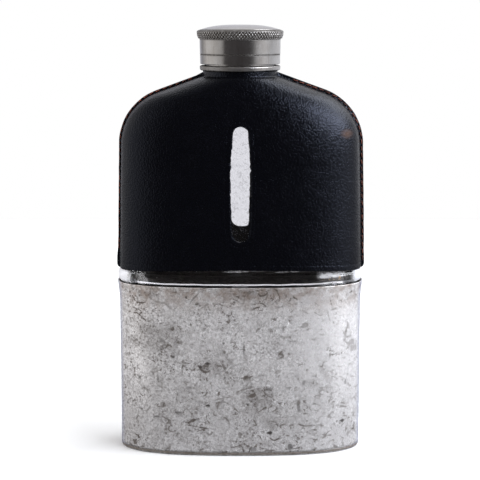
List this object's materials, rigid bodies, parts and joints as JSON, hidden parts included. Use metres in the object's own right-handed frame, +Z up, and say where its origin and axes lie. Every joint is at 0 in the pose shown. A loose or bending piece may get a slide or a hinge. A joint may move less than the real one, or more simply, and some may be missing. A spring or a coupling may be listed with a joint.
{
  "type": "hip flask",
  "caption": "Flattened-oval glass hip flask with a stitched leather jacket, sight windows, a slip-on metal drinking cup over its lower half and a knurled screw cap.",
  "frame": {"origin": "centre of the cup's underside, on the plane that the flask stands on", "axes": "+Z up, +X across the width to the right as seen from the front, -Y towards the front"},
  "size_m": [0.0906, 0.0384, 0.1535],
  "materials": {
    "worn_silver_plate": "worn satin silver plate with grey-brown stains, pits and fine scratches",
    "polished_plate": "spun and polished silver plate",
    "black_leather": "fine pebbled grain, semi-gloss, slightly worn",
    "seam_thread": "waxed rust-brown linen thread",
    "clear_glass": "clear, polished",
    "cork": "natural cork, speckled",
    "plaster": "rough plaster cement"
  },
  "bodies": {
    "cup": {"cup_wall": "worn_silver_plate", "cup_base": "worn_silver_plate"},
    "bottle": {"glass_bottle": "clear_glass", "leather_front_panel": "black_leather", "leather_back_panel": "black_leather", "seam_thread_left": "seam_thread", "seam_thread_right": "seam_thread", "neck_collar": "polished_plate", "collar_flange": "polished_plate", "collar_cement": "plaster"},
    "cap_wad": {"cork_wad": "cork"},
    "cap": {"cap_skirt": "polished_plate", "cap_thread_sleeve": "polished_plate", "cap_knurled_rim": "polished_plate", "cap_top": "polished_plate"}
  },
  "joints": [
    {"name": "bottle_lift", "type": "slide", "parent": "cup", "child": "bottle", "axis": [0, 0, 1], "range_m": [0, 0.07]},
    {"name": "cap_lift", "type": "slide", "parent": "bottle", "child": "cap_wad", "axis": [0, 0, 1], "range_m": [0, 0.0126]},
    {"name": "cap_turn", "type": "hinge", "parent": "cap_wad", "child": "cap", "pos_m": [0, 0, 0.145], "axis": [0, 0, 1], "range_deg": [0, 1800]}
  ],
  "couplings": [
    {"joint": "cap_lift", "follows": "cap_turn", "m_per_rad": 0.00039789}
  ]
}
